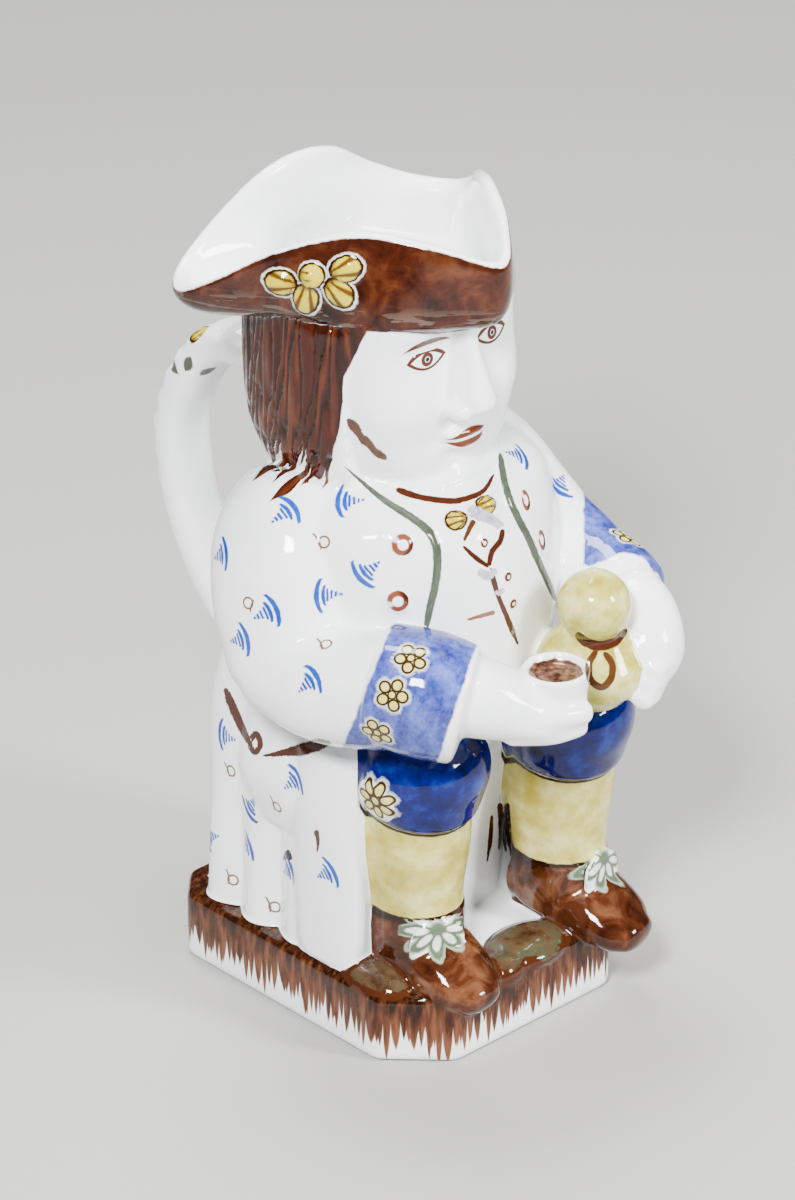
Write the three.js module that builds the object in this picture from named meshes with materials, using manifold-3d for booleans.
// Toby jug: a seated figure in a cocked hat, one hollow casting of glazed earthenware.
// Millimetres, +Z up. The figure faces -Y, its right hand is at -X, and the handle is behind, at +Y.
import * as THREE from 'three';
import { mergeVertices } from 'three/addons/utils/BufferGeometryUtils.js';
import Module from 'manifold-3d';

const wasm = await Module();
wasm.setup();

// Driving dimensions
const plinthWide = 97;
const plinthDeep = 110;
const plinthTall = 22;
const plinthCorner = 17;
const plinthRearCorner = 10;
const plinthEdge = 2;
const footRim = 8;
const footRecess = 2;
const floorThick = 9;
const wall = 5.5;
const hatRimThick = 4.6;
const foldPitch = 18.5;
const foldDeep = 2.4;
const hairStrands = 24;
const hairDeep = 0.9;
const shift = [3, -12.3]; // from the plinth's middle to the middle of the whole jug

const lerp = THREE.MathUtils.lerp;
const clamp01 = (value) => THREE.MathUtils.clamp(value, 0, 1);
const smooth = (value) => THREE.MathUtils.smoothstep(value, 0, 1);

// Solids

function solidFrom(geometry) {
  const bare = geometry.clone();
  bare.deleteAttribute('normal');
  bare.deleteAttribute('uv');
  const merged = mergeVertices(bare, 1e-4);
  const mesh = new wasm.Mesh({
    numProp: 3,
    vertProperties: new Float32Array(merged.attributes.position.array),
    triVerts: new Uint32Array(merged.index.array),
  });
  mesh.merge();
  return new wasm.Manifold(mesh);
}

function geometryFrom(solid) {
  const mesh = solid.getMesh();
  const geometry = new THREE.BufferGeometry();
  geometry.setAttribute('position', new THREE.BufferAttribute(new Float32Array(mesh.vertProperties), 3));
  geometry.setIndex(new THREE.BufferAttribute(new Uint32Array(mesh.triVerts), 1));
  geometry.computeVertexNormals();
  return geometry;
}

const joined = (solids) => solids.reduce((whole, next) => whole.add(next));

// A sphere's grid re-placed by a rule: down runs 0 to 1 from pole to pole, round runs 0 to 1 about them
function stretched(sides, rings, place) {
  const geometry = new THREE.SphereGeometry(1, sides, rings);
  const spots = geometry.attributes.position;
  const spot = new THREE.Vector3();
  for (let i = 0; i < spots.count; i += 1) {
    const round = (i % (sides + 1)) / sides;
    const down = Math.floor(i / (sides + 1)) / rings;
    place(down, round % 1, spot);
    spots.setXYZ(i, spot.x, spot.y, spot.z);
  }
  return solidFrom(geometry);
}

// Angles that step evenly round a ring of the given half sizes, where square above 2 makes it boxier
const squared = (value, square) => Math.sign(value) * Math.abs(value) ** (2 / square);
function evenAngles(sides, x, y, square) {
  const steps = sides * 24;
  const spots = Array.from({ length: steps + 1 }, (_, i) => {
    const angle = i / steps * 2 * Math.PI;
    return new THREE.Vector2(squared(Math.cos(angle), square) * x, squared(Math.sin(angle), square) * y);
  });
  const lengths = [0];
  for (let i = 1; i <= steps; i += 1) lengths.push(lengths[i - 1] + spots[i].distanceTo(spots[i - 1]));
  return Array.from({ length: sides }, (_, i) => {
    const wanted = lengths[steps] * i / sides;
    return lengths.findIndex((length) => length >= wanted - 1e-9) / steps * 2 * Math.PI;
  });
}

// A limb or trunk along a row of stations [x, y, z, half width, half depth], with rounded ends.
// The width lies along the side direction, the depth across it; square above 2 makes a boxier ring.
// caps is how many rings round each end over, and ends how far they reach past the end stations.
function loft(stations, options = {}) {
  const { sides = 12, rings = 8, side = [1, 0, 0], square = 2, ripple } = options;
  const { caps = [2, 2], ends = [0.7, 0.7] } = options;
  const path = new THREE.CatmullRomCurve3(
    stations.map((s) => new THREE.Vector3(s[0], s[1], s[2])), false, 'catmullrom', 0.5);
  const sizes = new THREE.CatmullRomCurve3(
    stations.map((s) => new THREE.Vector3(s[3], s[4], 0)), false, 'catmullrom', 0.5);
  const sideways = new THREE.Vector3(...side);
  const angles = evenAngles(sides, stations[0][3], stations[0][4], square);
  return stretched(sides, rings, (down, round, spot) => {
    const ring = down * rings;
    const first = clamp01(ring / caps[0]);
    const last = clamp01((rings - ring) / caps[1]);
    const along = clamp01((ring - caps[0]) / (rings - caps[0] - caps[1]));
    const middle = path.getPoint(along);
    const size = sizes.getPoint(along);
    const ahead = path.getTangent(along);
    const wideWay = sideways.clone().addScaledVector(ahead, -sideways.dot(ahead)).normalize();
    const deepWay = new THREE.Vector3().crossVectors(wideWay, ahead);
    const shrink = Math.sin(first * Math.PI / 2) * Math.sin(last * Math.PI / 2);
    const before = Math.cos(first * Math.PI / 2) * ends[0];
    const beyond = Math.cos(last * Math.PI / 2) * ends[1];
    const push = (beyond - before) * Math.min(size.x, size.y);
    const angle = angles[Math.round(round * sides) % sides];
    const across = squared(Math.cos(angle), square);
    const over = squared(Math.sin(angle), square);
    const swell = ripple ? ripple(along, across * size.x, over * size.y, size) : 0;
    spot.copy(middle).addScaledVector(ahead, push)
      .addScaledVector(wideWay, across * (size.x + swell) * shrink)
      .addScaledVector(deepWay, over * (size.y + swell) * shrink);
  });
}

const mirrored = (stations) => stations.map((s) => [-s[0], ...s.slice(1)]);

// Plinth: a slab with cut corners and softened edges, hollowed a little underneath

function cutCornerOutline(wide, deep, corner, rearCorner) {
  const x = wide / 2;
  const y = deep / 2;
  return new THREE.Shape([
    new THREE.Vector2(-x + corner, -y), new THREE.Vector2(x - corner, -y),
    new THREE.Vector2(x, -y + corner), new THREE.Vector2(x, y - rearCorner),
    new THREE.Vector2(x - rearCorner, y), new THREE.Vector2(-x + rearCorner, y),
    new THREE.Vector2(-x, y - rearCorner), new THREE.Vector2(-x, -y + corner),
  ]);
}

function plinth() {
  const inset = 2 * plinthEdge;
  const slab = new THREE.ExtrudeGeometry(
    cutCornerOutline(plinthWide - inset, plinthDeep - inset, plinthCorner - 1, plinthRearCorner), {
      depth: plinthTall - inset, bevelEnabled: true, bevelThickness: plinthEdge,
      bevelSize: plinthEdge, bevelSegments: 2, curveSegments: 1,
    });
  slab.translate(0, 0, plinthEdge);
  const rims = 2 * footRim;
  const recess = new THREE.ExtrudeGeometry(
    cutCornerOutline(plinthWide - rims, plinthDeep - rims, plinthCorner - 5, plinthRearCorner - 4), {
      depth: footRecess + 1, bevelEnabled: false,
    });
  recess.translate(0, 0, -1);
  return { slab: solidFrom(slab), recess: solidFrom(recess) };
}

// Coat: the skirt spreads down to the plinth in folds, the trunk swells above it

const skirtStations = [
  [0, 19, 21, 46, 37], [0, 19, 40, 45, 37], [0, 18, 60, 44, 36.5],
  [0, 17, 82, 42, 36], [0, 13, 102, 39, 34], [0, 9, 116, 31, 30],
];

// Folds: rounded columns with a valley between them, counted from the middle of each side round to the back
function coatFolds(along, x, y, size) {
  const onSide = Math.abs(x) / size.x > Math.abs(y) / size.y;
  const round = onSide ? Math.abs(y) : size.y + size.x - Math.abs(x);
  const fade = 1 - smooth((along - 0.15) / 0.45);
  return foldDeep * fade * (Math.abs(Math.cos(round / foldPitch * Math.PI)) - 1);
}

const skirt = () => loft(skirtStations, {
  sides: 72, rings: 7, caps: [1, 1], ends: [0.02, 0.3], square: 4, ripple: coatFolds,
});

// Pockets: a soft swelling on each side of the coat
const pocketStations = [[-35, 18, 58, 8, 13], [-35, 18, 72, 12, 17], [-34, 18, 92, 9, 15]];
const pockets = () => [pocketStations, mirrored(pocketStations)]
  .map((stations) => loft(stations, { rings: 6, ends: [0.5, 0.9] }));

const trunkStations = [
  [0, 6, 84, 36, 34], [0, 3, 104, 40, 42], [0, 1, 124, 42, 45],
  [0, 3, 144, 46, 44], [0, 7, 158, 46, 39], [0, 10, 170, 35, 30], [0, 12, 181, 20, 22],
];

const trunk = () => loft(trunkStations, {
  sides: 20, rings: 10, caps: [1, 2], ends: [0.1, 0.2], square: 2.2,
});

// Lap: the seat front between the legs
const seatStations = [[0, -8, 20, 26, 12], [0, -10, 50, 26, 14], [0, -12, 84, 26, 18], [0, -8, 100, 24, 18]];
const seat = () => loft(seatStations, { rings: 6, caps: [1, 1], ends: [0.02, 0.5], square: 3 });

// Arms: full sleeves, a turned-back cuff and a plain wrist
const rightUpperArm = [
  [-30, 11, 163, 19, 16], [-40, 9, 152, 22, 18], [-45, 5, 137, 22, 18], [-47, 0, 122, 19, 18],
];
const rightForearm = [
  [-47, -1, 121, 18, 18], [-46, -16, 119, 18.5, 18], [-43, -32, 121, 18, 17], [-39, -44, 124, 17, 16.5],
];
const rightCuff = [[-45, -36, 122, 17.5, 17.5], [-38, -48, 125, 18.5, 19], [-31, -57, 127, 17, 18]];
const rightHand = [
  [-34, -52, 126, 12, 13], [-24, -60, 123, 11.5, 12], [-14, -66, 120, 11, 10], [-6, -69, 118, 10, 9],
];
const leftUpperArm = [
  [29, 12, 163, 19, 16], [37, 5, 154, 19, 16], [41, -6, 143, 17.5, 15.5], [43, -18, 134, 16, 15],
];
const leftForearm = [[43, -15, 136, 15, 15], [43.5, -26, 131, 15.5, 15], [43.5, -38, 128, 14, 14]];
const leftCuff = [[44, -33, 129, 14, 14.5], [43.5, -42, 127, 14.5, 15], [42.5, -49, 125, 14, 14.5]];
const leftHand = [
  [42.5, -48, 126, 11, 11], [41, -56, 123, 11, 12], [37, -63, 117, 11, 11], [32, -66, 111, 8, 8],
];

// Fingers: a bend of the hand's far edge each, lying side by side
const fingerThick = 3.6;
const leftFingers = [0, 1, 2].map((i) => [
  [44 - 3 * i, -64, 122 - 6 * i], [38 - 3 * i, -70, 118 - 5 * i], [31 - 2 * i, -71, 115 - 4 * i],
].map((p) => [...p, fingerThick, fingerThick]));
const rightFingers = [0, 1].map((i) => [
  [-22, -69 + i * 2, 119 - 6 * i], [-12, -75 + i * 2, 118 - 6 * i], [-3, -77 + i * 2, 117 - 5 * i],
].map((p) => [...p, fingerThick, fingerThick]));

function arms() {
  const upperLook = { sides: 16, rings: 8, side: [0, 1, 0.2], caps: [1, 2], ends: [0.4, 0.8] };
  const lowerLook = { sides: 16, rings: 7, caps: [2, 1], ends: [0.8, 0.1] };
  const cuffLook = { sides: 16, rings: 6, caps: [1, 1], ends: [0.1, 0.1] };
  const fingerLook = { sides: 6, rings: 5, side: [0, 0, 1], caps: [1, 1] };
  return [
    ...[rightUpperArm, leftUpperArm].map((stations) => loft(stations, upperLook)),
    ...[rightForearm, leftForearm].map((stations) => loft(stations, lowerLook)),
    ...[rightCuff, leftCuff].map((stations) => loft(stations, cuffLook)),
    loft(rightHand, { side: [0, 1, 0.4], caps: [1, 2] }),
    loft(leftHand, { caps: [1, 2] }),
    ...[...leftFingers, ...rightFingers].map((finger) => loft(finger, fingerLook)),
  ];
}

// Legs: breeches over the knee, stockings and shoes. The left leg stands a little forward.
const legSpots = [{ x: -24, ahead: 1, toeAhead: 4 }, { x: 26, ahead: -6, toeAhead: -4 }];
const thighStations = [[0, 2, 84, 17, 18], [0, -14, 86, 18, 19], [0, -30, 85, 19, 19]];
const kneeStations = [[0, -33, 94, 17, 15], [0, -34, 84, 20, 19], [0, -33, 73, 19, 18], [0, -32, 67, 17, 17]];
const calfStations = [
  [0, -31, 74, 15, 15], [0, -30, 60, 16.5, 16.5], [0, -30, 46, 14.5, 15], [0, -31, 34, 13, 14],
];
const shoeStations = [
  [0, -22, 30, 12, 10], [0, -32, 30, 13, 11], [0, -46, 26, 13, 9.5],
  [0, -56, 22, 11.5, 7], [0, -61, 20, 8, 5],
];

function legs() {
  return legSpots.flatMap((leg) => {
    const moved = (stations, ahead) => stations.map((s) => [s[0] + leg.x, s[1] + ahead, ...s.slice(2)]);
    return [
      loft(moved(thighStations, leg.ahead), { rings: 5, caps: [1, 1] }),
      loft(moved(kneeStations, leg.ahead), { sides: 14, rings: 8, caps: [2, 1], ends: [0.6, 0.1] }),
      loft(moved(calfStations, leg.ahead), { rings: 6, caps: [1, 1], ends: [0.2, 0.2] }),
      loft(moved(shoeStations, leg.toeAhead), { rings: 9, ends: [0.5, 0.6] }),
    ];
  });
}

// What the hands hold: a beaker in the right, a small round jug with a ball on top on the left knee
const beakerSpot = [-5.5, -68, 109];
const ballSpot = [21, -57, 135];
const ballRound = 11;
const aleJugStations = [
  [23, -55, 104, 10, 10], [23, -55, 110, 15, 15], [23, -55, 118, 16.5, 15.5], [22, -56, 126, 9, 9],
];

function held() {
  const beaker = new THREE.LatheGeometry([
    new THREE.Vector2(0, 0), new THREE.Vector2(8, 0), new THREE.Vector2(10, 20),
    new THREE.Vector2(8.4, 20.5), new THREE.Vector2(8, 17), new THREE.Vector2(0, 17),
  ], 14);
  beaker.rotateX(Math.PI / 2).translate(...beakerSpot);
  const ball = new THREE.SphereGeometry(ballRound, 12, 8).translate(...ballSpot);
  return [
    solidFrom(beaker), solidFrom(ball),
    loft(aleJugStations, { sides: 14, rings: 8, ends: [0.3, 0.2] }),
  ];
}

// Bows: two loops and a knot, on the shoes
function bow(x, y, z, tilt, reach) {
  const pieces = [-1, 1].map((way) => {
    const loop = new THREE.SphereGeometry(1, 6, 4);
    loop.scale(reach * 0.55, 1.6, reach * 0.38).rotateY(way * 0.25).translate(way * reach * 0.5, 0, 0);
    return loop;
  });
  const knot = new THREE.SphereGeometry(1, 6, 4);
  knot.scale(2.2, 2.4, 2.2);
  return joined([...pieces, knot].map((piece) => {
    piece.rotateX(tilt).translate(x, y, z);
    return solidFrom(piece);
  }));
}

const shoeBows = () => legSpots.map((leg) => bow(leg.x, leg.toeAhead - 47, 35, 0.9, 9));

// Head and hair
const headStations = [
  [0, 1, 168, 19, 21], [0, 1, 178, 27, 30], [0, 4, 192, 31.5, 36], [0, 7, 208, 33, 39], [0, 9, 226, 33, 40],
];
const hairStations = [[0, 12, 165, 31, 33], [0, 11, 180, 36, 41], [0, 11, 204, 37, 43], [0, 11, 226, 36, 42]];
const hairFront = -9;
const browZ = 207;
const noseZ = 186;
const mouthZ = 178;

function bump(middle, sizes, sides = 8, rings = 6) {
  return solidFrom(new THREE.SphereGeometry(1, sides, rings).scale(...sizes).translate(...middle));
}

function head() {
  const strands = (along, x, y) => hairDeep * Math.cos(Math.atan2(y, x) * hairStrands);
  const hair = loft(hairStations, {
    sides: 2 * hairStrands, rings: 6, caps: [1, 1], ends: [0.2, 0.1], ripple: strands,
  });
  const faceSide = new THREE.BoxGeometry(100, 60, 100).translate(0, hairFront - 30, 200);
  return [
    loft(headStations, { sides: 22, rings: 10, caps: [2, 1], ends: [0.4, 0.1] }),
    hair.subtract(solidFrom(faceSide)),
    loft([[0, -29, browZ, 3, 4], [0, -33, 197, 4, 5], [0, -35, noseZ + 2, 6.5, 5]], { sides: 8, rings: 7 }),
    bump([0, -26, mouthZ], [10, 6, 3]),
    bump([0, -19, 169], [11, 9, 6]),
    ...[-1, 1].map((way) => bump([way * 12, -17.5, 188], [11, 12, 10])),
    ...[-1, 1].map((way) => bump([way * 9, -26.5, browZ + 1], [8, 5, 2.5])),
  ];
}

// Hat: a bowl with its brim turned up on three sides; the front corner is the pouring lip
const rimRight = [
  [-14, -27.5, 248], [-27.5, -8, 250], [-41, 11, 243], [-52, 24, 234],
  [-55, 37, 227], [-47, 47, 228], [-32, 50, 236], [-16, 48.5, 246],
];
const rimFront = [0, -40, 243];
const rimBack = [0, 48.5, 249];
const rimLow = 227; // the rim's height at its two side corners
const crownDrop = 8; // how much lower the brim's foot is under those corners
const crownDish = 20; // how far the hidden underside dips into the head
const hatSides = 28;
const hatRings = 15;
const crown = { y: 10, wide: 35, deep: 41, z: 225 };
const throat = { y: 11, wide: 27, deep: 31, z: 223 };

function hat() {
  const rimPoints = [rimFront, ...rimRight, rimBack, ...mirrored(rimRight).reverse()];
  const rimSpots = rimPoints.map((p) => new THREE.Vector3(...p));
  const rim = new THREE.CatmullRomCurve3(rimSpots, true, 'catmullrom', 0.5);
  const oval = (ring, angle) => new THREE.Vector3(
    -Math.sin(angle) * ring.wide, ring.y - Math.cos(angle) * ring.deep, ring.z);
  return stretched(hatSides, hatRings, (down, round, spot) => {
    const edge = rim.getPoint(round);
    const angle = Math.atan2(-edge.x, crown.y - edge.y);
    const away = new THREE.Vector3(-Math.sin(angle), -Math.cos(angle), 0);
    const foot = oval(crown, angle);
    foot.z -= crownDrop * (rimBack[2] - edge.z) / (rimBack[2] - rimLow);
    const well = oval(throat, angle);
    const inner = edge.clone().addScaledVector(away, -hatRimThick);
    const ring = down * hatRings;
    if (ring <= 1) {
      spot.set(0, crown.y, crown.z - crownDish).lerp(foot, ring);
    } else if (ring <= 6) {
      const t = (ring - 1) / 5;
      const bend = foot.clone().lerp(edge, 0.75).addScaledVector(away, 4);
      bend.z = foot.z + 1;
      spot.copy(foot).multiplyScalar((1 - t) ** 2).addScaledVector(bend, 2 * t * (1 - t))
        .addScaledVector(edge, t * t);
    } else if (ring <= 8) {
      const turn = (ring - 6) / 3 * Math.PI;
      spot.copy(edge).lerp(inner, 0.5).addScaledVector(away, Math.cos(turn) * hatRimThick / 2);
      spot.z += Math.sin(turn) * hatRimThick / 2;
    } else if (ring <= 14) {
      const t = (ring - 9) / 5;
      const bend = inner.clone().lerp(well, 0.3);
      bend.z = lerp(inner.z, well.z, 0.75);
      spot.copy(inner).multiplyScalar((1 - t) ** 2).addScaledVector(bend, 2 * t * (1 - t))
        .addScaledVector(well, t * t);
    } else {
      spot.set(0, throat.y, throat.z);
    }
  });
}

// Handle: a strap loop from the back of the neck to the back of the coat
const handlePath = [
  [0, 40, 174], [0, 58, 182], [0, 78, 179], [0, 91, 165], [0, 98, 147],
  [0, 97, 129], [0, 91, 112], [0, 82, 98], [0, 68, 86], [0, 46, 78],
];
const handleHalfWide = 9;
const handleHalfThick = 6.5;
const handle = () => loft(handlePath.map((p) => [...p, handleHalfWide, handleHalfThick]), {
  sides: 10, rings: 21, caps: [1, 1], ends: [0.1, 0.1], square: 2.6,
});

// Hollow inside, open through the hat
const thinned = (stations) => stations.map((s) => [...s.slice(0, 3), s[3] - wall, s[4] - wall]);
const neckStations = [
  [0, 9, 150, 36, 32], [0, 10, 166, 27, 26], [0, 10, 182, 28, 31],
  [0, 11, 204, 30, 35], [0, 11, 222, 27, 31], [0, 11, 234, 25, 29],
];

function hollow() {
  const [lowest, ...higher] = thinned(skirtStations);
  const low = [[lowest[0], lowest[1], floorThick, lowest[3], lowest[4]], ...higher];
  return joined([
    loft(low, { sides: 16, rings: 6, caps: [1, 1], ends: [0.02, 0.1], square: 4 }),
    loft(thinned(trunkStations.slice(0, 5)), {
      sides: 14, rings: 6, caps: [1, 1], ends: [0.1, 0.1], square: 2.2,
    }),
    loft(neckStations, { sides: 14, rings: 7, caps: [1, 1], ends: [0.1, 0.05] }),
  ]);
}

function jug() {
  const { slab, recess } = plinth();
  const outside = joined([
    slab, skirt(), ...pockets(), trunk(), seat(), ...arms(), ...legs(), ...held(),
    ...shoeBows(), ...head(), hat(), handle(),
  ]);
  return outside.subtract(recess).subtract(hollow()).translate(...shift, 0);
}

const glaze = new THREE.MeshStandardMaterial({ color: 0xe9e7e2, roughness: 0.15, metalness: 0 });
const jugMesh = new THREE.Mesh(geometryFrom(jug()), glaze);
jugMesh.name = 'toby_jug';

const tobyJug = new THREE.Group();
tobyJug.add(jugMesh);
export default tobyJug;
